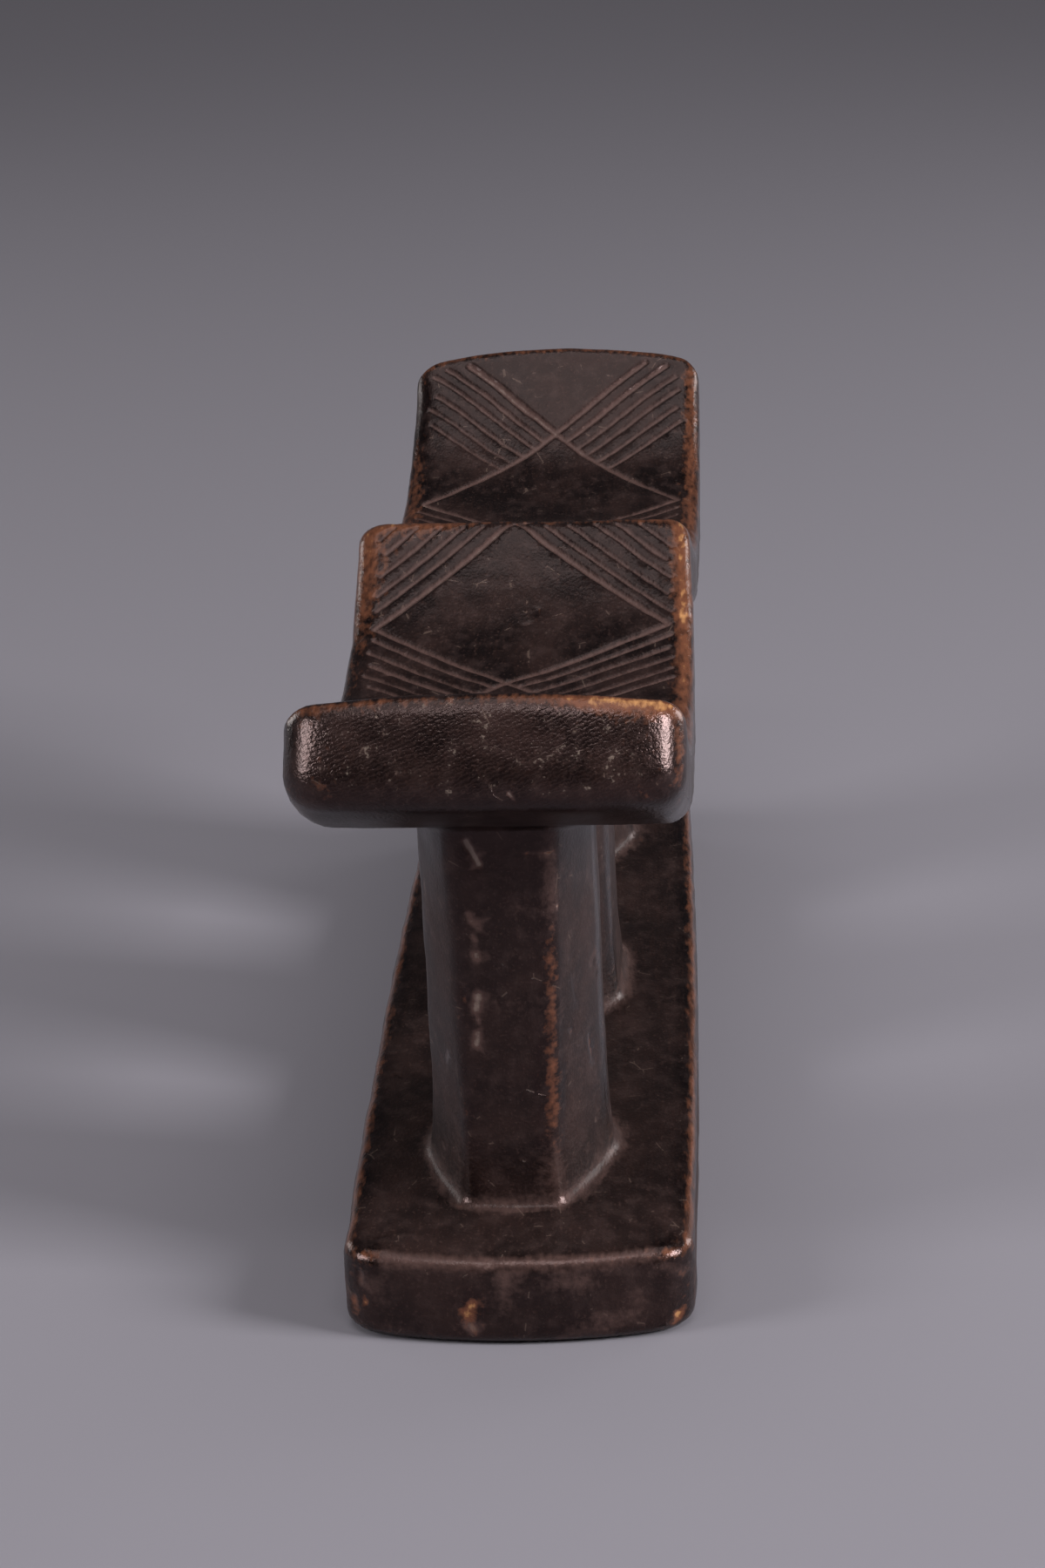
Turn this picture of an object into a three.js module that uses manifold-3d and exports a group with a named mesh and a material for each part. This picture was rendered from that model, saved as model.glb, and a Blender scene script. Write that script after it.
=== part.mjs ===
// A carved wooden headrest for two necks: one block of wood worked into a long foot,
// three faceted posts in a row, and a top of two saddles that meet in a central ridge.
// Millimetres, +Z up. The origin is the middle of the foot's underside and Y runs along
// the headrest. The solid is cut from one piece, so it is one mesh.
import * as THREE from "three";
import { mergeVertices } from "three/addons/utils/BufferGeometryUtils.js";
import Module from "manifold-3d";

// Foot
const FOOT_LENGTH = 356; // between the corners, along each side
const FOOT_WIDTH = 85;
const FOOT_HEIGHT = 23;
const FOOT_END_BOW = 7; // how far each end swells past its corners
const FOOT_SIDE_BOW = 1.9;
const FOOT_CORNER = 7;
const FOOT_EDGE = 2; // worn round along the top and bottom edges

// Top
const TOP_LENGTH = 375; // from one end's upper edge to the other's
const TOP_WIDTH = 92;
const TOP_THICKNESS = 20.5;
const TOP_EDGE = 8; // round edges along both sides
const TOP_END_EDGE = 6; // round edges of the two end faces
const TOP_TURN = -0.62; // degrees that the posts and the top are turned on the foot
const SADDLE_RADIUS = 176.4;
const SADDLE_LOW = 132.9; // height of each saddle's lowest line over the ground
const SADDLE_CENTRE = 91.4; // distance of that line from the ridge
const CREST_REACH = 5; // the ridge is worn round this far down each slope
const END_REACH = 55; // over this length the ends thicken, arch and swell outwards
const END_RISE = 3;
const END_CROWN = 4.5; // the middle of each end stands this far over its corners
const END_BOW = 3.4;

// Posts
const POST_DEPTH = 73;
const POST_FACET = { foot: 21, head: 26.5 }; // width of the facet at each end of a post
const FACET_SHIFT = { foot: -0.8, head: 0.8 }; // that facet's middle, from the post's
const POST_AXIS = { foot: 0.5, head: -1.1 }; // the posts lean a little to the left
const POST_FLARE = 0.7; // the posts widen this much where they meet foot and top
const POST_SUNK = 1; // how far a post's foot runs into the block below, to join it
const POSTS = [
  { y: -118.6, flank: 12, width: 45, rise: 105 },
  { y: -3, flank: 40, width: 42, rise: 114 },
  { y: 119, flank: 12, width: 45, rise: 105 },
];

// Incised pattern: a row of plain lozenges along the top, with hatched triangles beside
// them. Places are measured over the surface from the ridge, and differ by slope as cut.
const NEAR_ROW = { tips: [0, 79, 158], corners: [46.5, 118.5, 200], middle: -2.4 };
const FAR_ROW = { tips: [0, 80, 160], corners: [41, 118, 201], middle: 0.4 };
const LOZENGE_HALF_WIDTH = 39.5;
const BORDER_CUT = { width: 2.6, depth: 1.3 };
const HATCH_CUT = { width: 1.9, depth: 1 };
const HATCH_SPACING = 4.9;
const HATCH_LINES = 5;
const PATTERN_END = 8; // plain wood between the pattern and each end
const CUT_STEP = 20; // longest straight stretch in a cut that follows the curve

const ridgeAngle = Math.asin(SADDLE_CENTRE / SADDLE_RADIUS);
const endAngle = Math.asin((TOP_LENGTH / 2 - SADDLE_CENTRE) / SADDLE_RADIUS);
const slopeLength = SADDLE_RADIUS * (ridgeAngle + endAngle); // over one saddle, ridge to end
const saddleAxis = SADDLE_LOW + SADDLE_RADIUS;
const crestDrop = (CREST_REACH / 2) * Math.tan(ridgeAngle);

const wasm = await Module();
wasm.setup();

function toSolid(geometry) {
  geometry.deleteAttribute("normal");
  geometry.deleteAttribute("uv");
  const merged = mergeVertices(geometry, 1e-4);
  return new wasm.Manifold(
    new wasm.Mesh({
      numProp: 3,
      vertProperties: merged.getAttribute("position").array,
      triVerts: new Uint32Array(merged.index.array),
    }),
  );
}

function toGeometry(solid) {
  const mesh = solid.getMesh();
  const geometry = new THREE.BufferGeometry();
  geometry.setAttribute("position", new THREE.BufferAttribute(mesh.vertProperties, 3));
  geometry.setIndex(new THREE.BufferAttribute(mesh.triVerts, 1));
  return geometry.toNonIndexed();
}

// Moves each vertex of a geometry to where the function puts it.
function reshape(geometry, move) {
  const position = geometry.getAttribute("position");
  const p = new THREE.Vector3();
  for (let i = 0; i < position.count; i++) {
    move(p.fromBufferAttribute(position, i));
    position.setXYZ(i, p.x, p.y, p.z);
  }
  return geometry;
}

// Bends the flat plan of the top into its two saddles. `along` is measured over the
// surface from the ridge, `across` from the middle line, and `up` from the surface.
function onTop(along, across, up) {
  const side = Math.sign(along) || 1;
  const distance = Math.abs(along);
  const angle = distance / SADDLE_RADIUS - ridgeAngle;
  const lean = Math.max(angle, 0); // upright up to the low line, then square to the slope
  const height = up / Math.cos(angle - lean);
  const end = THREE.MathUtils.smoothstep(distance, slopeLength - END_REACH, slopeLength);
  const middle = 1 - Math.min(1, (2 * across / TOP_WIDTH) ** 2);
  const fromBelow = Math.min(1, 1 + up / TOP_THICKNESS);
  const rise = (END_RISE + END_CROWN * middle) * end * fromBelow;
  const wear = crestDrop * Math.max(0, 1 - distance / CREST_REACH) ** 2;
  const out = SADDLE_CENTRE + SADDLE_RADIUS * Math.sin(angle) - height * Math.sin(lean);
  return new THREE.Vector3(
    across,
    side * (out + END_BOW * end * middle),
    saddleAxis - SADDLE_RADIUS * Math.cos(angle) + height * Math.cos(lean) + rise - wear,
  );
}

function footGeometry() {
  const w = FOOT_WIDTH / 2;
  const l = FOOT_LENGTH / 2;
  const c = FOOT_CORNER;
  const plan = new THREE.Shape();
  plan.moveTo(c - w, -l);
  plan.quadraticCurveTo(0, -l - 2 * FOOT_END_BOW, w - c, -l);
  plan.quadraticCurveTo(w, -l, w, c - l);
  plan.quadraticCurveTo(w + 2 * FOOT_SIDE_BOW, 0, w, l - c);
  plan.quadraticCurveTo(w, l, w - c, l);
  plan.quadraticCurveTo(0, l + 2 * FOOT_END_BOW, c - w, l);
  plan.quadraticCurveTo(-w, l, -w, l - c);
  plan.quadraticCurveTo(-w - 2 * FOOT_SIDE_BOW, 0, -w, c - l);
  plan.quadraticCurveTo(-w, -l, c - w, -l);
  const foot = new THREE.ExtrudeGeometry(plan, {
    depth: FOOT_HEIGHT - 2 * FOOT_EDGE,
    curveSegments: 8,
    bevelThickness: FOOT_EDGE,
    bevelSize: FOOT_EDGE,
    bevelOffset: -FOOT_EDGE,
    bevelSegments: 3,
  });
  return foot.translate(0, 0, FOOT_EDGE);
}

// A post is an extruded octagon, long in Y. Its end facets widen from foot to head, and
// it flares where it meets the foot and the top, so its rings are drawn together there.
function postGeometry({ y, flank, width, rise }) {
  const side = width / 2;
  const facet = POST_FACET.foot / 2;
  const front = POST_DEPTH / 2;
  const plan = new THREE.Shape([
    new THREE.Vector2(-facet, -front),
    new THREE.Vector2(facet, -front),
    new THREE.Vector2(side, -flank / 2),
    new THREE.Vector2(side, flank / 2),
    new THREE.Vector2(facet, front),
    new THREE.Vector2(-facet, front),
    new THREE.Vector2(-side, flank / 2),
    new THREE.Vector2(-side, -flank / 2),
  ]);
  const { lerp } = THREE.MathUtils;
  const ringPull = 0.7; // 0 spaces the rings evenly, 1 draws them fully to both ends
  const post = new THREE.ExtrudeGeometry(plan, { depth: 1, steps: 10, bevelEnabled: false });
  return reshape(post, (p) => {
    const turn = 2 * Math.PI * p.z;
    const level = p.z - (ringPull * Math.sin(turn)) / (2 * Math.PI);
    const flare = POST_FLARE * (2 * level - 1) ** 8;
    const widening = lerp(0, (POST_FACET.head - POST_FACET.foot) / 2, level);
    const outward = (Math.abs(p.x) - facet) / (side - facet); // 0 at the end facet, 1 at a flank
    const shift = lerp(FACET_SHIFT.foot, FACET_SHIFT.head, level) * (1 - outward);
    p.x += Math.sign(p.x) * (widening * (1 - outward) + flare);
    p.x += lerp(POST_AXIS.foot, POST_AXIS.head, level) + shift;
    p.y += y + Math.sign(p.y) * flare;
    p.z = FOOT_HEIGHT - POST_SUNK + rise * level;
  });
}

function topGeometry() {
  const w = TOP_WIDTH / 2 - TOP_EDGE;
  const e = TOP_EDGE;
  const below = TOP_EDGE - TOP_THICKNESS;
  const quarter = Math.PI / 2;
  const crownSteps = 6;
  const section = new THREE.Shape();
  section.absarc(w, -e, e, 0, quarter);
  for (let i = 1; i < crownSteps; i++) section.lineTo(w - (2 * w * i) / crownSteps, 0);
  section.absarc(-w, -e, e, quarter, 2 * quarter);
  section.absarc(-w, below, e, 2 * quarter, 3 * quarter);
  section.absarc(w, below, e, 3 * quarter, 4 * quarter);
  const straight = slopeLength - TOP_END_EDGE;
  const crestPull = 0.4; // ring spacing at the ridge, as a share of an even spacing
  const top = new THREE.ExtrudeGeometry(section, {
    depth: 2 * straight,
    steps: 32,
    curveSegments: 2,
    bevelThickness: TOP_END_EDGE,
    bevelSize: TOP_END_EDGE,
    bevelOffset: -TOP_END_EDGE,
    bevelSegments: 3,
  });
  return reshape(top, (p) => {
    const place = 1 - p.z / straight; // 1 at the start of the extrusion, -1 at its end
    const ring = Math.min(1, Math.abs(place));
    const pastEnd = Math.abs(place) - ring;
    const along = straight * (pastEnd + ring * (crestPull + (1 - crestPull) * ring));
    p.copy(onTop(Math.sign(place) * along, p.x, p.y));
  });
}

// One incised line between two places on the top, as a wedge to cut away.
function cutSolid(from, to, { width, depth }) {
  const run = to.clone().sub(from);
  const length = run.length();
  run.normalize();
  const wedge = new THREE.Shape([
    new THREE.Vector2(0, -depth),
    new THREE.Vector2(width, depth),
    new THREE.Vector2(-width, depth),
  ]);
  const cut = new THREE.ExtrudeGeometry(wedge, {
    depth: length,
    steps: Math.ceil(length / CUT_STEP),
    bevelEnabled: false,
  });
  reshape(cut, (p) => {
    const across = from.x + run.x * p.z - run.y * p.x;
    const along = from.y + run.y * p.z + run.x * p.x;
    p.copy(onTop(along, across, p.y));
  });
  return toSolid(cut);
}

// Where the line through a and b crosses the line through c and d, in the flat plan.
function crossing(a, b, c, d) {
  const r = b.clone().sub(a);
  const s = d.clone().sub(c);
  const t = c.clone().sub(a).cross(s) / r.cross(s);
  return a.clone().addScaledVector(r, t);
}

// The lines on one slope: lozenge borders that cross at each tip, and hatching in the
// triangles between two crossing borders and the side margin. The hatching runs with the
// border on the far side of each crossing, and beside the ridge with the lozenge there.
function slopeCuts(side, { tips, corners, middle }) {
  const cuts = [];
  const place = (across, along) => new THREE.Vector2(across, side * along);
  const limit = slopeLength - PATTERN_END;
  const endLine = [place(-1, limit), place(1, limit)];
  const ridgeLine = [place(-1, CREST_REACH / 2), place(1, CREST_REACH / 2)];
  const add = (from, to, cut) => {
    const last = Math.abs(to.y) > limit ? crossing(from, to, ...endLine) : to;
    if (Math.abs(from.y) < limit) cuts.push(cutSolid(from, last, cut));
  };
  for (const hand of [-1, 1]) {
    const margin = hand * LOZENGE_HALF_WIDTH;
    const marginLine = [place(margin, 0), place(margin, 1)];
    const hatch = (border, stop) => {
      const aside = new THREE.Vector2(hand, 0);
      const slant = border[1].clone().sub(border[0]).normalize();
      const pitch = HATCH_SPACING / Math.abs(slant.y);
      for (let i = 1; i <= HATCH_LINES; i++) {
        const beside = border.map((p) => p.clone().addScaledVector(aside, i * pitch));
        add(crossing(...beside, ...stop), crossing(...beside, ...marginLine), HATCH_CUT);
      }
    };
    tips.forEach((tip, i) => {
      const here = place(middle, tip);
      const after = [here, place(margin, corners[i])];
      add(...after, BORDER_CUT);
      if (i === 0) return hatch(after, ridgeLine);
      const before = [here, place(margin, corners[i - 1])];
      add(...before, BORDER_CUT);
      return side > 0 ? hatch(after, before) : hatch(before, after);
    });
  }
  return cuts;
}

const upper = [topGeometry(), ...POSTS.map(postGeometry)].map(toSolid);
const carved = wasm.Manifold.union(upper).subtract(
  wasm.Manifold.union([...slopeCuts(-1, NEAR_ROW), ...slopeCuts(1, FAR_ROW)]),
);
const solid = toSolid(footGeometry()).add(carved.rotate([0, 0, TOP_TURN]));

const wood = new THREE.MeshStandardMaterial({
  name: "dark oiled hardwood",
  color: 0x3a2a24,
  roughness: 0.42,
  metalness: 0,
});
const headrest = new THREE.Mesh(toGeometry(solid), wood);
headrest.name = "headrest";

const group = new THREE.Group();
group.add(headrest);

export default group;
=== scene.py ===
"""A carved wooden headrest for two necks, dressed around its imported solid.

One block of dark hardwood, oiled by years of use: a long foot, three faceted posts, and a
top of two saddles with rows of incised lozenges. It is modelled in millimetres, as such a
block is measured, and turned to metres once it is whole. Y runs along the headrest.
"""

import math
import random

import bmesh
import bpy
import numpy as np
from mathutils import Matrix, Vector, kdtree, noise


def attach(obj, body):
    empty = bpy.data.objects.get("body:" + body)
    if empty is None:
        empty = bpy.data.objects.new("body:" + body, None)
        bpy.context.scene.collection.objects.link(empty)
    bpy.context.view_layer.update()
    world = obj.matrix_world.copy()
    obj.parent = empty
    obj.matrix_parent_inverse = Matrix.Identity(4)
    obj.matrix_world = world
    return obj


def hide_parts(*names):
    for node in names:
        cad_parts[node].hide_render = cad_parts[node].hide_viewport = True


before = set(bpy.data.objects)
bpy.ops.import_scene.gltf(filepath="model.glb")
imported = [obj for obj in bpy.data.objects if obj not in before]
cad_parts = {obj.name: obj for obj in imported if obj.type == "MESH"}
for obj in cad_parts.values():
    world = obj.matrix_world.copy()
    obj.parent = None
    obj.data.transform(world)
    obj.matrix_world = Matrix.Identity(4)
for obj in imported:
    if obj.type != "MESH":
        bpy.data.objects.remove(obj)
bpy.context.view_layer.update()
MM = 0.001

# Foot
FOOT_LENGTH = 356
FOOT_WIDTH = 85
FOOT_HEIGHT = 23
FOOT_END_BOW = 7
FOOT_SIDE_BOW = 1.9
FOOT_CORNER = 7
FOOT_EDGE = 3.8
FOOT_LIFT = 1.6  # its lower corners are worn away by this much
FOOT_MESH = 3.2  # spacing of its mesh

# Top
TOP_LENGTH = 375
TOP_WIDTH = 92
TOP_THICKNESS = 20.5
TOP_LOW = (7.5, 6, 6.5)  # how far its edges are rounded, across, along and up, towards the
TOP_HIGH = (6, 6, 5)  # low and the high end of each axis
TOP_TURN = math.radians(-0.62)
SADDLE_RADIUS = 176.4
SADDLE_LOW = 132.9
SADDLE_CENTRE = 91.4
CREST_REACH = 5
END_REACH = 55
END_RISE = 3
END_CROWN = 4.5
END_BOW = 3.4
END_CORNER = (3.0, 16)  # its ends are drawn back at their corners: how far, and over what width
TOP_MESH = (3.0, 2.0, 3.0)  # spacing of its mesh across, along and up
RIDGE_ANGLE = math.asin(SADDLE_CENTRE / SADDLE_RADIUS)
END_ANGLE = math.asin((TOP_LENGTH / 2 - SADDLE_CENTRE) / SADDLE_RADIUS)
SLOPE_LENGTH = SADDLE_RADIUS * (RIDGE_ANGLE + END_ANGLE)
SADDLE_AXIS = SADDLE_LOW + SADDLE_RADIUS
CREST_DROP = CREST_REACH / 2 * math.tan(RIDGE_ANGLE)
# The top's middle line wanders to the left and right, as cut: (along, across)
MIDDLE_LINE = [(-213, -1.0), (-120, 0), (-45, -0.2), (0, -1.3), (45, 0), (120, 0.5), (213, 0.5)]

# Where hands and heads have rubbed the top's edges: place, amount and reach. The sides are given
# along the flat plan, the ridge and the ends across it.
LEFT_RUBBED = [
    (-213, 0.7, 4), (-190, 0.5, 3), (-100, 0.3, 3), (-60, 0.5, 4), (-30, 0.8, 7), (0, 0.95, 9),
    (20, 0.6, 4), (60, 0.25, 3), (105, 0.75, 6), (140, 0.65, 4), (170, 0.3, 3), (213, 0.4, 3),
]
RIGHT_RUBBED = [
    (-213, 0.7, 3), (-150, 0.8, 3), (-90, 0.85, 3.4), (0, 1.05, 4), (60, 0.8, 3.2), (213, 0.75, 3.2),
]
RIDGE_RUBBED = [
    (-46, 1.0, 11), (-20, 0.85, 6), (-8, 0.5, 3), (10, 0.5, 2.4), (30, 0.65, 2.8), (46, 1.0, 5),
]
NEAR_END_RUBBED = [
    (-46, 0.8, 2.5), (-30, 0.75, 2.2), (-16, 0.6, 2), (0, 0.65, 2), (15, 0.8, 2.4), (25, 1.3, 3),
    (38, 1.4, 3.5), (46, 1.2, 3),
]
FAR_END_RUBBED = [(-46, 0.8, 3), (0, 0.75, 2.6), (46, 0.8, 3)]

# Posts
POST_DEPTH = 73
POST_FACET = (21, 26.5)  # width of the end facets at foot and head
FACET_SHIFT = (-0.8, 0.8)
POST_AXIS = (0.5, -1.1)
POST_ARRIS = 3.4  # the edges between facets are worn round, least of all near the foot
POST_FILLET = (3.6, 2.5)  # hollows where a post meets the foot and the top
POST_BULGE = (0.8, 7)  # its facets are slightly round: by how much, and how far from an edge
POST_SPREAD = (1.3, 22)  # how far its sides lean out over the foot, and up to what height
POST_SUNK = 1.5  # a post's mesh runs this far into the foot and the top
POST_MESH = 3.0
POST_HEIGHT = 110  # nearly, for the spacing of its mesh
POST_RINGS = (0.2, 0.5, 0.9, 1.4, 2.0, 2.7, 3.6, 4.5)  # its mesh in the hollows at its ends
POSTS = [
    {"y": -118.6, "flank": 12, "width": 44},
    {"y": -3, "flank": 40, "width": 41.5},
    {"y": 119, "flank": 12, "width": 44},
]

# Seams between foot, posts and top
SEAM_GAP = 1e-3  # what is further than this from every piece's own mesh is new on a seam
SEAM_RINGS = 2
SEAM_MERGE = 0.25
SEAM_PASSES = 6

# Incised pattern, in places measured over the surface from the ridge
NEAR_ROW = {"side": -1, "tips": (0, 79, 158), "corners": (46.5, 118.5, 200), "middle": -2.4}
FAR_ROW = {"side": 1, "tips": (0, 80, 160), "corners": (41, 118, 201), "middle": 0.4}
LOZENGE_HALF_WIDTH = 39.5
BORDER_CUT = (3.3, 0.85)  # width and depth
HATCH_CUT = (2.7, 0.65)
HATCH_SPACING = 4.9
HATCH_LINES = 5
PATTERN_END = 8
CUT_MESH = 0.85  # longest edge within an incised line

# Marks of the blade and of knocks: start, end, width, depth, and how far each bares the wood and
# scuffs the skin
MARKS = [
    ((-10.0, -155, 119.1), (-7.1, -155, 113.3), 1.8, 0.5, 0.2, 1.9),
    ((-1.5, -155, 117), (4.5, -155, 116), 0.9, 0.2, 1.2, 0.8),
    ((4.5, -155, 116), (10.1, -154.5, 115.7), 0.9, 0.25, 1.0, 1.6),
    ((1.5, -155.1, 102.3), (11.3, -152.8, 101.4), 0.9, 0.25, 0.9, 1.8),
    ((-10, -155, 100.5), (-9.4, -155, 98.8), 2.2, 0.2, 0, 1.0),
    ((-7.6, -155, 98.6), (-7.4, -155, 96.8), 2.0, 0.25, 0.1, 0.9),
    ((-9.2, -155, 95), (-8.6, -155, 94), 1.8, 0.2, 0, 1.0),
    ((-8.6, -155.1, 90.3), (-8.4, -155, 89.4), 2.8, 0.3, 0, 1.3),
    ((-8.5, -155.2, 79.5), (-9.1, -155, 76), 3.0, 0.25, 0, 1.4),
    ((-8.6, -155.2, 73.2), (-8.6, -155, 72.6), 1.6, 0.2, 0.1, 1.1),
    ((-8.8, -155.2, 69.8), (-9.4, -155, 66.8), 2.4, 0.2, 0.1, 1.2),
    ((15, -146, 80), (15.6, -144, 72), 1.6, 0.2, 0.5, 0.3),
    ((18, -136, 60), (18.4, -134, 53), 1.8, 0.25, 0.8, 0.2),
    ((-12.4, -184.3, 8.9), (-12.0, -184.3, 8.4), 4.0, 0.5, 1.35, 0.3),
    ((-10.6, -184.4, 11.9), (-10.8, -184.4, 11.2), 2.8, 0.35, 1.1, 0.6),
    ((-11.7, -184.4, 5.6), (-10.9, -184.4, 4.6), 3.6, 0.4, 0.4, 1.2),
    ((-37.4, -179.2, 9.5), (-37.4, -179.2, 9.4), 2.0, 0.4, 1.2, 0),
    ((-40.2, -176.8, 9.5), (-40.0, -176.8, 7.5), 3.2, 0.4, 0.5, 0.5),
    ((-38.2, -178.7, 16.8), (-38.4, -178.7, 15.0), 2.4, 0.4, 0.3, 0.7),
    ((38.7, -178.2, 5.0), (38.4, -178.2, 3.2), 3.0, 0.6, 1.1, 0.2),
    ((-7.3, -183, 23), (-6.5, -183.5, 22), 3.6, 0.35, 0, 0.25),
    ((3.2, -199.5, 146.4), (5.0, -199.5, 143.6), 0.9, 0.25, 0.2, 1.5),
    ((5.0, -199.5, 143.6), (7.8, -199, 140.6), 0.9, 0.25, 0.2, 1.3),
    ((-39.5, -196.3, 148.7), (-37.5, -197, 147), 5.5, 0.25, 0.3, 0.25),
    ((32.4, -197.2, 145.2), (34.0, -197, 143.5), 4.5, 0.25, 0.35, 0.2),
]
KNOCKS = 70
MARK_MESH = 0.4  # longest edge within a mark, as a part of its width
ADZE_WAVE = (0.32, 17)  # height and size of the surface's waves
HAND_WAVE = (0.14, 6)
RASP_PITCH = 0.95
PATCH_OF_SCRATCHES = 17


def places_of(bm):
    """The places of a mesh's vertices, as an array."""
    return np.array([v.co for v in bm.verts])


def move_mesh(bm, places):
    for vertex, place in zip(bm.verts, places):
        vertex.co = place


def evenly(low, high, spacing):
    """Places between two others, about `spacing` apart."""
    return np.linspace(low, high, max(1, round((high - low) / spacing)) + 1)[1:-1]


def cut_at(bm, axis, places):
    """Gives the mesh an edge all round at each place along an axis."""
    normal = Vector.Fill(3)
    normal[axis] = 1
    for place in places:
        whole = bm.verts[:] + bm.edges[:] + bm.faces[:]
        bmesh.ops.bisect_plane(bm, geom=whole, dist=1e-4, plane_co=normal * place, plane_no=normal)


def round_edges(bm, edges, radius, segments):
    bmesh.ops.bevel(
        bm, geom=edges, offset=radius, affect="EDGES", segments=segments, profile=0.5,
        material=-1, clamp_overlap=False,
    )


def block(size):
    """A box with its middle at the origin."""
    bm = bmesh.new()
    bmesh.ops.create_cube(bm, size=1)
    bmesh.ops.scale(bm, vec=size, verts=bm.verts)
    return bm


def runs_along(edge, axis):
    """Whether an edge of a box is parallel to an axis."""
    run = edge.verts[1].co - edge.verts[0].co
    return abs(run[axis]) > 0.99 * run.length


def bump(distance, reach):
    """1 at no distance, and falling smoothly to near 0 past `reach`."""
    return np.exp(-((distance / reach) ** 2))


def smoothstep(x, low, high):
    t = np.clip((x - low) / (high - low), 0, 1)
    return t * t * (3 - 2 * t)


def mottled(x, y, z, size):
    """Smooth noise at each place, in patches of about `size` millimetres."""
    return np.array([noise.noise(Vector(place) / size) for place in np.broadcast(x, y, z)])


def sort_parts(parts, key):
    parts.index_update()
    rank = {part.index: i for i, part in enumerate(sorted(parts, key=key))}
    parts.sort(key=lambda part: rank[part.index])
    parts.index_update()


def sort_faces(bm):
    """Puts edges and faces in the order of their vertices. A bevel leaves them in a chance order."""
    bm.verts.index_update()
    for parts in (bm.edges, bm.faces):
        sort_parts(parts, lambda part: sorted(v.index for v in part.verts))


def sort_mesh(mesh):
    """Puts a whole mesh in the order of its vertices' places. A union leaves it in a chance one."""
    bm = bmesh.new()
    bm.from_mesh(mesh)
    sort_parts(bm.verts, lambda v: tuple(v.co))
    sort_faces(bm)
    bm.to_mesh(mesh)
    bm.free()


def mesh_object(bm, name, **marks):
    """Turns a mesh into an object, with each mark as a number at every vertex."""
    bmesh.ops.recalc_face_normals(bm, faces=bm.faces)
    sort_faces(bm)
    mesh = bpy.data.meshes.new(name)
    bm.to_mesh(mesh)
    bm.free()
    for mark, values in marks.items():
        layer = mesh.attributes.new(mark, "FLOAT", "POINT")
        layer.data.foreach_set("value", np.asarray(values, np.float32))
    piece = bpy.data.objects.new(name, mesh)
    bpy.context.scene.collection.objects.link(piece)
    return piece


def lines_of_row(side, tips, corners, middle):
    """The incised lines of one slope: (start, end, width, depth), in the flat plan."""
    lines = []
    limit = SLOPE_LENGTH - PATTERN_END

    def at(across, along):
        return np.array((across, side * along), float)

    def crossing(a, b, c, d):
        r, s = b - a, d - c
        t = ((c - a)[0] * s[1] - (c - a)[1] * s[0]) / (r[0] * s[1] - r[1] * s[0])
        return a + t * r

    def add(start, end, cut):
        if abs(end[1]) > limit:
            end = crossing(start, end, at(-1, limit), at(1, limit))
        if abs(start[1]) < limit:
            width, depth = cut[0] * hand.uniform(0.88, 1.12), cut[1] * hand.uniform(0.8, 1.15)
            lines.append((start, end, width, depth))

    def hatch(border, stop, sign):
        slant = (border[1] - border[0]) / np.linalg.norm(border[1] - border[0])
        pitch = HATCH_SPACING / abs(slant[1])
        for i in range(1, HATCH_LINES + 1):
            aside = at(sign * pitch * (i + hand.uniform(-0.08, 0.08)), 0)
            beside = [end + aside for end in border]
            margin = at(sign * (LOZENGE_HALF_WIDTH + hand.uniform(-1.5, 1.5)), 0)
            add(
                crossing(*beside, *stop),
                crossing(*beside, margin, margin + at(0, 1)),
                HATCH_CUT,
            )

    for sign in (-1, 1):
        for i, tip in enumerate(tips):
            start = at(middle, tip)
            after = (start, at(sign * LOZENGE_HALF_WIDTH, corners[i]))
            add(*after, BORDER_CUT)
            if i == 0:
                hatch(after, (at(-1, CREST_REACH / 2), at(1, CREST_REACH / 2)), sign)
                continue
            before = (start, at(sign * LOZENGE_HALF_WIDTH, corners[i - 1]))
            add(*before, BORDER_CUT)
            if side > 0:
                hatch(after, before, sign)
            else:
                hatch(before, after, sign)
    return lines


def distance_to(line, across, along):
    start, end = line[:2]
    run = end - start
    dx, dy = across - start[0], along - start[1]
    t = np.clip((dx * run[0] + dy * run[1]) / (run @ run), 0, 1)
    return np.hypot(dx - t * run[0], dy - t * run[1])


def incised(lines, across, along):
    """How deep the lines are cut at each place."""
    depth = np.zeros(len(across))
    for line in lines:
        half = line[2] / 2
        near = np.clip(distance_to(line, across, along) / half, 0, 1)
        depth = np.maximum(depth, line[3] * (0.5 + 0.5 * np.cos(math.pi * near)))
    return depth


def edges_of(bm):
    """The middle and the length of every edge of a mesh."""
    ends = np.array([(*e.verts[0].co, *e.verts[1].co) for e in bm.edges])
    return (ends[:, :3] + ends[:, 3:]) / 2, np.linalg.norm(ends[:, :3] - ends[:, 3:], axis=1)


def halve(bm, coarse):
    """Halves the edges that are marked as coarse, and says how many there were. Faces that get
    many sides by it are split."""
    chosen = [edge for edge, take in zip(bm.edges, coarse) if take]
    bmesh.ops.subdivide_edges(bm, edges=chosen, cuts=1, use_grid_fill=True)
    large = [face for face in bm.faces if len(face.verts) > 4]
    bmesh.ops.triangulate(bm, faces=large)
    return len(chosen)


def refine(bm, lines, longest):
    """Halves the longer edges of the upper surface along the incised lines."""
    middle, length = edges_of(bm)
    near = np.zeros(len(length), bool)
    for line in lines:
        reach = line[2] / 2 + 0.1 + length * 0.3
        near |= distance_to(line, middle[:, 0], middle[:, 1]) < reach
    near &= (middle[:, 2] > -0.5) & (length > longest)
    return halve(bm, near)


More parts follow.
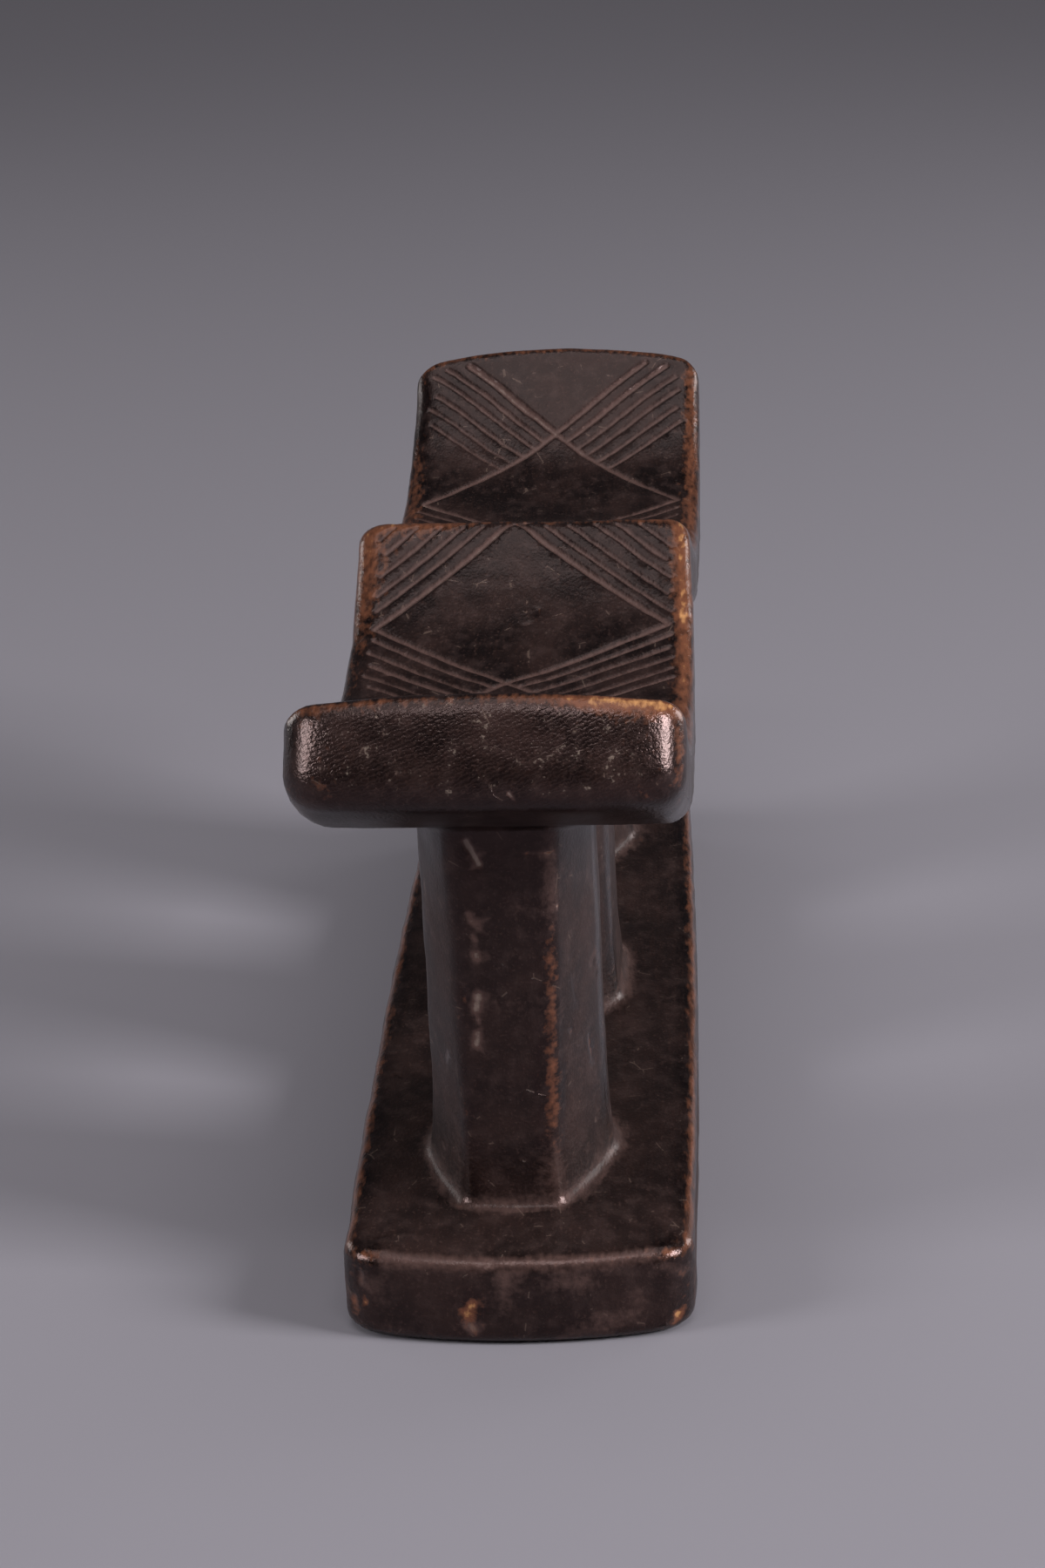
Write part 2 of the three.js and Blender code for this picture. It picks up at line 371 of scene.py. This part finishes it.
def on_top(across, along, up):
    """Bends the flat plan of the top into its two saddles."""
    side = np.where(along < 0, -1.0, 1.0)
    distance = np.abs(along)
    angle = distance / SADDLE_RADIUS - RIDGE_ANGLE
    lean = np.maximum(angle, 0)
    height = up / np.cos(angle - lean)
    end = smoothstep(distance, SLOPE_LENGTH - END_REACH, SLOPE_LENGTH)
    middle = 1 - np.minimum(1, (2 * across / TOP_WIDTH) ** 2)
    from_below = np.minimum(1, 1 + up / TOP_THICKNESS)
    rise = (END_RISE + END_CROWN * middle) * end * from_below
    wear = CREST_DROP * np.maximum(0, 1 - distance / CREST_REACH) ** 2
    out = SADDLE_CENTRE + SADDLE_RADIUS * np.sin(angle) - height * np.sin(lean)
    wander = np.interp(along, *zip(*MIDDLE_LINE))
    corner = np.maximum(0, 1 - (TOP_WIDTH / 2 - np.abs(across)) / END_CORNER[1]) ** 2
    out -= END_CORNER[0] * corner * smoothstep(distance, SLOPE_LENGTH - 16, SLOPE_LENGTH)
    return np.column_stack((
        across + wander,
        side * (out + END_BOW * end * middle),
        SADDLE_AXIS - SADDLE_RADIUS * np.cos(angle) + height * np.cos(lean) + rise - wear,
    ))


def pebble(size, low, high, spacing, steps=3):
    """A bar whose edges and corners are all round, meshed at a spacing along each axis. `low`
    and `high` are how far the edges are rounded towards either end of each axis. It starts as
    a box with cuts through its margins, which are then drawn in."""
    bm = block(size)
    low, high, half = np.array(low), np.array(high), np.array(size) / 2
    inner = low - half, half - high
    margin = np.tan(math.pi / 4 * np.arange(steps) / steps)
    for axis in range(3):
        ends = inner[0][axis], inner[1][axis]
        edges = [*(ends[0] - low[axis] * margin), *(ends[1] + high[axis] * margin)]
        cut_at(bm, axis, [*edges, *evenly(*ends, spacing[axis])])
    places = places_of(bm)
    core = np.clip(places, *inner)
    radii = np.where(places < core, low, high)
    out = (places - core) / radii
    move_mesh(bm, core + out / np.linalg.norm(out, axis=1)[:, None] * radii)
    return bm


def rubbed(table, places, distance):
    """Wear beside an edge: a table of place, amount and reach along it."""
    along, amount, reach = zip(*table)
    return np.interp(places, along, amount) * bump(distance, np.interp(places, along, reach))


def top_piece():
    half_width, thickness = TOP_WIDTH / 2, TOP_THICKNESS
    size = (TOP_WIDTH, 2 * SLOPE_LENGTH, thickness)
    bm = pebble(size, TOP_LOW, TOP_HIGH, TOP_MESH)
    bmesh.ops.translate(bm, vec=(0, 0, -thickness / 2), verts=bm.verts)
    lines = lines_of_row(**NEAR_ROW) + lines_of_row(**FAR_ROW)
    while refine(bm, lines, CUT_MESH):
        pass
    x, y, z = places_of(bm).T
    upper = smoothstep(z, -2, -0.4)
    ragged = mottled(x, y, 3.1, 5)
    depth = upper * incised(lines, x + 0.2 * ragged, y + 0.2 * ragged)
    # cut is how deep the incised lines go. The material paints them paler: dust in them, and a
    # painted sheen of their walls.
    cut = depth / BORDER_CUT[1]
    inset = 2.4  # from a sharp edge to the middle of its rounding
    side_edge = np.hypot(half_width - inset - np.abs(x), np.minimum(z + inset, 0))
    near_edge = np.hypot(SLOPE_LENGTH - 2 + y, z + 2)
    far_edge = np.hypot(SLOPE_LENGTH - 3.4 - y, z + 1)
    near_corner = np.hypot(half_width - 1 - x, SLOPE_LENGTH - 2 + y)
    held_corner = np.hypot(np.hypot(half_width - 6 - np.abs(x), SLOPE_LENGTH + y), z + 8)
    low_edge = np.hypot(half_width - inset - np.abs(x), z + thickness - inset)
    ridge = np.hypot(y, np.minimum(z + 1, 0))
    wear = np.maximum.reduce([
        np.where(x < 0, rubbed(LEFT_RUBBED, y, side_edge), rubbed(RIGHT_RUBBED, y, side_edge)),
        rubbed(RIDGE_RUBBED, x, ridge), rubbed(NEAR_END_RUBBED, x, near_edge),
        rubbed(FAR_END_RUBBED, x, far_edge), 0.7 * bump(near_corner, 2.5),
        0.35 * bump(low_edge, 3), 0.24 * bump(held_corner, 13),
    ])
    wear *= 1 - 0.5 * cut
    on_end = smoothstep(np.abs(y), SLOPE_LENGTH - 5, SLOPE_LENGTH - 1)
    rasped = on_end * smoothstep(-np.abs(x), 2 - half_width, 10 - half_width)
    move_mesh(bm, on_top(x, y, z - depth))
    bmesh.ops.rotate(bm, matrix=Matrix.Rotation(TOP_TURN, 3, "Z"), verts=bm.verts)
    return mesh_object(bm, "top", wear=wear, cut=cut, rasped=rasped)


def under_top(y):
    """Height of the top's underside over each place along the headrest."""
    out = np.abs(y) - SADDLE_CENTRE
    upright = SADDLE_AXIS - np.sqrt(SADDLE_RADIUS**2 - out**2) - TOP_THICKNESS
    square = SADDLE_AXIS - np.sqrt((SADDLE_RADIUS + TOP_THICKNESS) ** 2 - out**2)
    return np.where(out < 0, upright, square)


def post_piece(y, flank, width):
    side, facet, front = width / 2, POST_FACET[0] / 2, POST_DEPTH / 2
    bm = bmesh.new()
    bmesh.ops.create_cone(bm, cap_ends=True, segments=8, radius1=1, radius2=1, depth=1)
    bmesh.ops.rotate(bm, matrix=Matrix.Rotation(math.pi / 8, 3, "Z"), verts=bm.verts)
    for v in bm.verts:
        corner = (side, flank / 2) if abs(v.co.x) > abs(v.co.y) else (facet, front)
        v.co.x, v.co.y = (math.copysign(c, p) for c, p in zip(corner, v.co))
        v.co.z += 0.5
    bm.normal_update()
    sharp = np.array([
        (left * across, near * along) for across, along in ((side, flank / 2), (facet, front))
        for left in (-1, 1) for near in (-1, 1)
    ])
    round_edges(bm, [e for e in bm.edges if runs_along(e, 2)], POST_ARRIS, 4)
    cut_at(bm, 0, evenly(-facet, facet, POST_MESH))
    cut_at(bm, 1, evenly(-front, front, POST_MESH))
    hollow = (POST_SUNK + np.array(POST_RINGS)) / POST_HEIGHT
    between = evenly(6 / POST_HEIGHT, 1 - 5 / POST_HEIGHT, POST_MESH / POST_HEIGHT)
    cut_at(bm, 2, [*hollow, *(1 - hollow[:-3]), *between])
    bm.normal_update()
    flat = np.array([
        v.normal.xy.normalized() if v.normal.xy.length > 0.1 else (0, 0) for v in bm.verts
    ])
    px, py, level = places_of(bm).T
    plan = np.column_stack((px, py))
    away = np.linalg.norm(plan[:, None] - sharp[None], axis=2)
    corner = sharp[away.argmin(axis=1)]
    crisp = 0.45 + 0.55 * smoothstep(level, 0.1, 0.6)
    at_corner = away.min(axis=1) < POST_ARRIS * 1.01
    px, py = np.where(at_corner[:, None], corner + (plan - corner) * crisp[:, None], plan).T
    bulge = POST_BULGE[0] * (1 - bump(away.min(axis=1), POST_BULGE[1]))
    outward = np.clip((np.abs(px) - facet) / (side - facet), 0, 1)
    corners = [
        np.hypot(np.abs(px) - facet, np.abs(py) - front),
        np.hypot(np.abs(px) - side, np.abs(py) - flank / 2),
    ]
    handled = (px > 0) & (py < 0)
    halfway = smoothstep(level, 0.1, 0.3) * (1 - smoothstep(level, 0.65, 0.8))
    streak = np.where(handled, 0.65, 0.05) * halfway
    wear = bump(corners[0], 2.3) * (0.2 + streak)
    wear += bump(corners[1], 2.3) * np.where(handled, 0.3, 0.1)
    widening = level * (POST_FACET[1] - POST_FACET[0]) / 2
    shift = FACET_SHIFT[0] + level * (FACET_SHIFT[1] - FACET_SHIFT[0])
    x = px + np.sign(px) * widening * (1 - outward) * np.minimum(1, np.abs(px) / facet)
    x += POST_AXIS[0] + level * (POST_AXIS[1] - POST_AXIS[0]) + shift * (1 - outward)
    low = FOOT_HEIGHT - POST_SUNK
    high = under_top(y + py) + POST_SUNK
    z = low + level * (high - low)
    heights = (z - FOOT_HEIGHT, under_top(y + py) - z)
    lean = 1 - np.clip(heights[0] / POST_SPREAD[1], 0, 1)
    x += flat[:, 0] * (POST_SPREAD[0] * lean**2 + bulge)
    py = py + flat[:, 1] * bulge
    for height, fillet in zip(heights, POST_FILLET):
        t = 0.95 * (1 - np.clip(height / fillet, 0, 1))
        flare = fillet * (1 - np.sqrt(1 - t**2))
        x += flat[:, 0] * flare
        py = py + flat[:, 1] * flare
    # Paler along the front-right arris above and below the worn streak: scuffs, and a painted
    # highlight on the arris.
    scuffed = np.where(handled, 0.6, 0.1) * bump(corners[0], 2.6) * (1 - halfway)
    # Paler in a band up from the foot of the post: a painted highlight on the hollow where the post
    # meets the foot.
    cut = np.maximum(0.45 * bump(heights[0], 5), scuffed)
    blotched = mottled(x, y + py, z, 9)
    cut = np.maximum(cut, 0.45 * np.clip(blotched, 0, 1))
    move_mesh(bm, np.column_stack((x, y + py, z)))
    bmesh.ops.rotate(bm, matrix=Matrix.Rotation(TOP_TURN, 3, "Z"), verts=bm.verts)
    return mesh_object(bm, "post", wear=wear, cut=cut, rasped=0 * wear)


def foot_piece():
    half = (FOOT_WIDTH / 2, FOOT_LENGTH / 2, FOOT_HEIGHT / 2)
    bm = block((FOOT_WIDTH, FOOT_LENGTH, FOOT_HEIGHT))
    bmesh.ops.translate(bm, vec=(0, 0, half[2]), verts=bm.verts)
    round_edges(bm, [e for e in bm.edges if runs_along(e, 2)], FOOT_CORNER, 5)
    level = [e for e in bm.edges if abs(e.verts[0].co.z - e.verts[1].co.z) < 0.01]
    round_edges(bm, level, FOOT_EDGE, 4)
    for axis in (0, 1):
        cut_at(bm, axis, evenly(FOOT_EDGE - half[axis], half[axis] - FOOT_EDGE, FOOT_MESH))
    cut_at(bm, 2, evenly(FOOT_EDGE, FOOT_HEIGHT - FOOT_EDGE, FOOT_MESH))
    x, y, z = places_of(bm).T
    inset = FOOT_EDGE * 0.3
    rim = np.minimum(half[0] - np.abs(x), half[1] - np.abs(y)) - inset
    corner = np.hypot(half[0] - np.abs(x) - 2, half[1] - np.abs(y) - 2)
    top_edge = np.hypot(rim, FOOT_HEIGHT - inset - z)
    low_edge = np.hypot(rim, z - inset)
    sides = np.abs(x) > half[0] - FOOT_EDGE * 2
    wear = bump(top_edge, 2.1) * np.where(sides, 0.8, 0.2 + 0.15 * smoothstep(x, 0, 30))
    # Paler along the top edge of the ends: a painted highlight on the rounded edge. The sides keep a
    # little of it.
    cut = 0.75 * bump(top_edge, 2.2) * np.where(sides, 0.2, 1)
    blotched = mottled(x, y, z, 7)
    upright = smoothstep(-rim, -2.5, -0.5) * smoothstep(-z, -FOOT_HEIGHT + 1, -FOOT_HEIGHT + 4)
    cut = np.maximum(cut, np.clip(blotched, 0, 1) * upright)
    at_corner = bump(corner, 3)
    beside_it = 0.7 * bump(corner, 7) * bump(top_edge, 5) * sides * (1 - at_corner)
    wear = np.maximum.reduce([wear, 0.3 * bump(low_edge, 3), beside_it, 0.3 * at_corner])
    wide = 1 - (np.abs(y) / half[1]) ** 2
    long = 1 - (x / half[0]) ** 2
    bow = np.column_stack((
        x * (1 + FOOT_SIDE_BOW * wide / half[0]), y * (1 + FOOT_END_BOW * long / half[1]), z,
    ))
    from_corner = np.hypot(half[0] - np.abs(x), half[1] - np.abs(y))
    lifted = FOOT_LIFT * np.where(x < 0, 1, 0.7) * bump(from_corner, 6)
    bow[:, 2] += lifted * (1 - z / FOOT_HEIGHT) ** 2
    move_mesh(bm, bow)
    return mesh_object(bm, "foot", wear=wear, cut=cut, rasped=0 * wear)


def soften_seams(mesh, on_seam):
    """Smooths the mesh along the seams, where one piece of the form runs into the next."""
    bm = bmesh.new()
    bm.from_mesh(mesh)
    near = {v for v, seam in zip(bm.verts, on_seam) if seam}
    for _ in range(SEAM_RINGS):
        near |= {edge.other_vert(v) for v in near for edge in v.link_edges}
    near = [v for v in bm.verts if v in near]
    bmesh.ops.remove_doubles(bm, verts=near, dist=SEAM_MERGE)
    near = [v for v in near if v.is_valid]
    for _ in range(SEAM_PASSES):
        bmesh.ops.smooth_vert(
            bm, verts=near, factor=0.5, use_axis_x=True, use_axis_y=True, use_axis_z=True,
        )
    bm.to_mesh(mesh)
    bm.free()


def joined(whole, others, marks=("wear", "cut", "rasped")):
    """Joins the others to a piece, as one closed skin, and removes them. Each vertex then takes
    its marks from the nearest one of the separate pieces."""
    pieces = [whole, *others]
    places = [v.co.copy() for piece in pieces for v in piece.data.vertices]
    nearest = kdtree.KDTree(len(places))
    for i, place in enumerate(places):
        nearest.insert(place, i)
    nearest.balance()
    values = {}
    for mark in marks:
        layers = [piece.data.attributes[mark].data for piece in pieces]
        values[mark] = [item.value for layer in layers for item in layer]
    for other in others:
        join = whole.modifiers.new("join", "BOOLEAN")
        join.operation = "UNION"
        join.solver = "EXACT"
        join.object = other
    graph = bpy.context.evaluated_depsgraph_get()
    mesh = bpy.data.meshes.new_from_object(whole.evaluated_get(graph))
    sort_mesh(mesh)
    whole.modifiers.clear()
    whole.data = mesh
    found = [nearest.find(v.co) for v in mesh.vertices]
    for mark in marks:
        mesh.attributes[mark].data.foreach_set("value", [values[mark][i] for _, i, _ in found])
    for other in others:
        bpy.data.objects.remove(other)
    soften_seams(mesh, [distance > SEAM_GAP for _, _, distance in found])
    return whole


def hand_worked(piece):
    """Gives the wood the slight waves of the adze and the hand, but leaves its underside flat."""
    bm = bmesh.new()
    bm.from_mesh(piece.data)
    bm.normal_update()
    for v in bm.verts:
        wave = ADZE_WAVE[0] * noise.noise(v.co / ADZE_WAVE[1])
        wave += HAND_WAVE[0] * noise.noise(v.co / HAND_WAVE[1] + Vector((9, 2, 5)))
        v.co += v.normal * wave * min(1, v.co.z / 4)
    bmesh.ops.scale(bm, vec=(MM, MM, MM), verts=bm.verts)
    bm.to_mesh(piece.data)
    bm.free()


def knocks(piece, count):
    """Small dents at random places of the surface, each as a mark like those in MARKS."""
    low, high = (Vector(corner) for corner in (piece.bound_box[0], piece.bound_box[6]))
    found = []
    while len(found) < count:
        beside = [hand.uniform(low[axis] - 5, high[axis] + 5) for axis in range(3)]
        seen, place, normal, _ = piece.closest_point_on_mesh(beside)
        if seen and normal.z > -0.5:
            run = Vector([hand.gauss(0, 1.6) for _ in range(3)])
            run -= run.project(normal)
            width = hand.uniform(1.2, 2.8)
            bare, scuffed = hand.uniform(-0.2, 0.5), hand.uniform(0, 0.45)
            found.append((place, place + run, width, 0.12 * width, bare, scuffed))
    return found


def to_mark(places, start, end):
    """Distance of each place from the line between two points."""
    start, run = np.array(start), np.array(end, float) - np.array(start)
    t = np.clip((places - start) @ run / max(run @ run, 1e-9), 0, 1)
    return np.linalg.norm(places - start - t[:, None] * run, axis=1)


def struck(piece, marks):
    """Presses the marks into the surface, with a finer mesh in and around each of them."""
    bm = bmesh.new()
    bm.from_mesh(piece.data)
    while True:
        middle, length = edges_of(bm)
        coarse = np.zeros(len(length), bool)
        for start, end, width, *_ in marks:
            near = to_mark(middle, start, end) < width * 0.6 + length * 0.25
            coarse |= near & (length > MARK_MESH * width)
        if not halve(bm, coarse):
            break
    bm.normal_update()
    places = places_of(bm)
    normals = np.array([v.normal for v in bm.verts])
    layers = [bm.verts.layers.float[name] for name in ("wear", "cut")]
    values = np.array([[v[layer] for layer in layers] for v in bm.verts])
    for start, end, width, depth, bare, scuffed in marks:
        amount = bump(to_mark(places, start, end), width / 2)[:, None]
        places = places - normals * depth * amount
        values += amount * (bare, scuffed)
    for v, place, (wear, cut) in zip(bm.verts, places, values):
        v.co = place
        v[layers[0]], v[layers[1]] = wear, min(cut, 2)
    bm.to_mesh(piece.data)
    bm.free()


hand = random.Random(11)
headrest = foot_piece()
joined(headrest, [post_piece(**post) for post in POSTS] + [top_piece()])
headrest.name = "carved_headrest"
struck(headrest, MARKS + knocks(headrest, KNOCKS))
hand_worked(headrest)
headrest.data.shade_smooth()


def linear(code):
    """The linear colour of an sRGB hex value."""
    parts = [int(code[i:i + 2], 16) / 255 for i in (1, 3, 5)]
    return (*(p / 12.92 if p < 0.04045 else ((p + 0.055) / 1.055) ** 2.4 for p in parts), 1)


def add(tree, kind, inputs=None, **settings):
    """Adds a node: its settings, then its inputs, each set to a value or linked to a socket."""
    new = tree.nodes.new(kind)
    for name, value in settings.items():
        setattr(new, name, value)
    for name, value in (inputs or {}).items():
        if isinstance(value, bpy.types.NodeSocket):
            tree.links.new(value, new.inputs[name])
        else:
            new.inputs[name].default_value = value
    return new


def ranged(tree, value, low, high, at_low, at_high):
    """Goes from `at_low` to `at_high` as the value goes from `low` to `high`."""
    return add(tree, "ShaderNodeMapRange", {
        "Value": value, "From Min": low, "From Max": high, "To Min": at_low, "To Max": at_high,
    }).outputs[0]


def worked_out(tree, operation, *values):
    """One step of arithmetic with sockets and numbers."""
    return add(tree, "ShaderNodeMath", dict(enumerate(values)), operation=operation).outputs[0]


def laid_over(tree, under, pattern, low, high, code, most=1.0):
    """Lays a colour over another where a pattern rises from `low` to `high`."""
    colours = {0: ranged(tree, pattern, low, high, 0, most), 6: under, 7: linear(code)}
    return add(tree, "ShaderNodeMix", colours, data_type="RGBA").outputs[2]


def drawn_out(tree, width, length, detail, seed):
    """Uneven streaks along the grain, `width` by `length` millimetres."""
    along = add(tree, "ShaderNodeMapping", {
        "Vector": add(tree, "ShaderNodeTexCoord").outputs["Object"],
        "Location": (seed, seed, seed),
        "Scale": (1 / (width * MM), 1 / (length * MM), 1 / (width * MM)),
    })
    return add(tree, "ShaderNodeTexNoise", {
        "Vector": along.outputs[0], "Scale": 1.0, "Detail": detail,
    }).outputs["Fac"]


def oiled_hardwood():
    """Dense dark hardwood, shaped by blade and handled for years. The skin of oil and soot is
    nearly black, red-brown beneath, and glossy where it was handled most. Fine pores and the
    scratches of the rasp break it up. Where hands have rubbed the edges, bare wood shows."""
    material = bpy.data.materials.new("oiled_dark_hardwood")
    material.use_nodes = True
    tree = material.node_tree
    shader = tree.nodes["Principled BSDF"]
    wear = add(tree, "ShaderNodeAttribute", attribute_name="wear").outputs["Fac"]
    cut = add(tree, "ShaderNodeAttribute", attribute_name="cut").outputs["Fac"]
    patches = drawn_out(tree, 14, 22, 6, 0)
    stains = drawn_out(tree, 4, 6, 5, 9)
    grain = drawn_out(tree, 1.1, 30, 4, 3)
    # Pores are 0.2 mm wide and the rasp's teeth 0.4 mm apart. Both are drawn coarser, so that
    # they show.
    pores = drawn_out(tree, 0.8, 1.4, 3, 11)
    ragged = drawn_out(tree, 1.6, 6, 6, 7)
    fluff = drawn_out(tree, 0.9, 1.4, 4, 5)
    place = add(tree, "ShaderNodeTexCoord").outputs["Object"]
    height = add(tree, "ShaderNodeSeparateXYZ", {0: place}).outputs["Z"]

    # The rasp went over the end faces alone, and left pale flecks there
    end_face = add(tree, "ShaderNodeAttribute", attribute_name="rasped").outputs["Fac"]
    slanting = add(tree, "ShaderNodeMapping", {"Vector": place, "Rotation": (0, math.radians(22), 0)})
    teeth = add(tree, "ShaderNodeTexWave", {
        "Vector": slanting.outputs[0], "Scale": 0.314 / (RASP_PITCH * MM), "Distortion": 7,
        "Detail": 3, "Detail Scale": 2.5,
    }, bands_direction="Z").outputs["Fac"]
    rasped = worked_out(tree, "MULTIPLY", teeth, end_face)
    flecks = worked_out(tree, "MULTIPLY_ADD", stains, 0.8, fluff)
    flecks = worked_out(tree, "MULTIPLY", flecks, end_face)

    # Fine scratches, here and there
    knife = add(tree, "ShaderNodeTexVoronoi", {
        "Vector": place, "Scale": 1 / (PATCH_OF_SCRATCHES * MM),
    }, feature="DISTANCE_TO_EDGE").outputs["Distance"]
    thin = worked_out(tree, "LESS_THAN", knife, 0.009)
    broken = worked_out(tree, "GREATER_THAN", stains, 0.6)
    scratches = worked_out(tree, "MULTIPLY", thin, broken)

    skin = laid_over(tree, linear("#090505"), patches, 0.42, 0.64, "#1f1412")
    skin = laid_over(tree, skin, grain, 0.5, 0.72, "#2a1a16", 0.3)
    skin = laid_over(tree, skin, stains, 0.48, 0.7, "#382b29", 0.45)
    skin = laid_over(tree, skin, pores, 0.58, 0.7, "#503c37", 0.25)
    skin = laid_over(tree, skin, pores, 0.42, 0.32, "#120d0d", 0.6)
    skin = laid_over(tree, skin, flecks, 1.06, 1.2, "#8f7f74", 0.5)
    skin = laid_over(tree, skin, scratches, 0.1, 0.9, "#7a665b", 0.25)
    skin = laid_over(tree, skin, rasped, 0.6, 0.9, "#3a2d2a", 0.22)
    unevenly = ranged(tree, ragged, 0.3, 0.7, -0.3, 0.3)
    # Paler where scuffed: real scuffs from the knocks and marks, with painted sheen in the incised
    # lines and painted highlights at the posts' feet and arrises and along the foot's top edge.
    scuffed = worked_out(tree, "MULTIPLY_ADD", unevenly, 0.6, cut)
    skin = laid_over(tree, skin, scuffed, 0.2, 0.8, "#4e3b37", 0.9)
    skin = laid_over(tree, skin, scuffed, 0.95, 1.5, "#8c7c73", 0.8)
    bared = worked_out(tree, "ADD", wear, unevenly)
    wood = laid_over(tree, skin, bared, 0.4, 0.95, "#6d4330", 0.85)
    wood = laid_over(tree, wood, bared, 1.05, 1.4, "#b98658", 0.9)
    tree.links.new(wood, shader.inputs["Base Color"])

    # Glossy in patches and on rubbed edges, dull in the cuts, and dusty below the top
    duller = worked_out(tree, "MULTIPLY_ADD", cut, 0.12, ranged(tree, patches, 0.3, 0.7, 0.28, 0.43))
    duller = worked_out(tree, "ADD", duller, ranged(tree, wear, 0.05, 0.4, 0, -0.15))
    dusty = ranged(tree, height, 95 * MM, 115 * MM, 0.3, 0)
    inner = ranged(tree, wear, 0, 0.15, 1, 0)
    duller = worked_out(tree, "MULTIPLY_ADD", dusty, inner, duller)
    tree.links.new(duller, shader.inputs["Roughness"])

    relief = worked_out(tree, "MULTIPLY_ADD", rasped, 0.26, pores)
    relief = worked_out(tree, "MULTIPLY_ADD", stains, 0.8, relief)
    relief = worked_out(tree, "MULTIPLY_ADD", scratches, -0.35, relief)
    felt = add(tree, "ShaderNodeBump", {"Height": relief, "Strength": 0.6, "Distance": 0.22 * MM})
    tree.links.new(felt.outputs[0], shader.inputs["Normal"])
    shader.inputs["IOR"].default_value = 1.42
    shader.inputs["Specular Tint"].default_value = linear("#ffcac4")
    shader.inputs["Coat Weight"].default_value = 0.2
    shader.inputs["Coat Roughness"].default_value = 0.2
    tree.links.new(felt.outputs[0], shader.inputs["Coat Normal"])
    return material


headrest.data.materials.clear()
headrest.data.materials.append(oiled_hardwood())
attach(headrest, "root")
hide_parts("headrest")


def studio_floor():
    bm = bmesh.new()
    bmesh.ops.create_grid(bm, x_segments=1, y_segments=1, size=40)
    mesh = bpy.data.meshes.new("studio_floor")
    bm.to_mesh(mesh)
    bm.free()
    material = bpy.data.materials.new("pale_matte_paper")
    material.use_nodes = True
    shader = material.node_tree.nodes["Principled BSDF"]
    shader.inputs["Base Color"].default_value = linear("#7f7b83")
    shader.inputs["Roughness"].default_value = 0.9
    mesh.materials.append(material)
    floor = bpy.data.objects.new("studio_floor", mesh)
    bpy.context.scene.collection.objects.link(floor)


def softbox(name, place, size, power, aim=(0, -0.08, 0.09)):
    """A square of soft light that faces a point of the headrest."""
    light = bpy.data.lights.new(name, "AREA")
    light.shape = "RECTANGLE"
    light.size, light.size_y = size
    light.energy = power
    lamp = bpy.data.objects.new(name, light)
    lamp.location = place
    lamp.rotation_euler = (Vector(aim) - Vector(place)).to_track_quat("-Z", "Y").to_euler()
    bpy.context.scene.collection.objects.link(lamp)


def overhead_light():
    """Wide soft light from above, as from a large silk."""
    light = bpy.data.lights.new("overhead_silk", "SUN")
    light.energy = 0.9
    light.angle = math.radians(60)
    lamp = bpy.data.objects.new("overhead_silk", light)
    lamp.rotation_euler = (math.radians(2), 0, 0)
    bpy.context.scene.collection.objects.link(lamp)


def camera():
    """The photograph's view: from over the near end, slightly to the right, looking down."""
    lens = bpy.data.cameras.new("camera")
    lens.sensor_fit = "VERTICAL"
    lens.sensor_height = 36
    lens.lens = 80
    eye = bpy.data.objects.new("camera", lens)
    down, left, roll = math.radians(18.8), math.radians(3.01), math.radians(-2.03)
    turn = Matrix.Rotation(left, 4, "Z") @ Matrix.Rotation(math.pi / 2 - down, 4, "X")
    place = Matrix.Translation((0.0451, -0.936, 0.3996))
    eye.matrix_world = place @ turn @ Matrix.Rotation(roll, 4, "Z")
    bpy.context.scene.collection.objects.link(eye)
    bpy.context.scene.camera = eye


def surroundings():
    """A dim even light from all round."""
    world = bpy.data.worlds.new("studio")
    world.use_nodes = True
    sky = world.node_tree.nodes["Background"]
    sky.inputs["Color"].default_value = linear("#c9c4cf")
    sky.inputs["Strength"].default_value = 0.045
    bpy.context.scene.world = world


camera()
studio_floor()
softbox("right_softbox", (1.66, -0.665, 0.91), (0.6, 0.7), 46)
softbox("left_softbox", (-1.66, -0.76, 0.87), (0.6, 0.7), 20)
softbox("back_right_softbox", (1.5, 1.1, 0.45), (0.8, 0.6), 7)
softbox("back_left_softbox", (-1.5, 1.1, 0.45), (0.8, 0.6), 3.5)
softbox("front_strip", (0, -0.85, 1.4), (0.9, 0.2), 4.5)
overhead_light()
surroundings()
bpy.context.scene.view_settings.view_transform = "Standard"
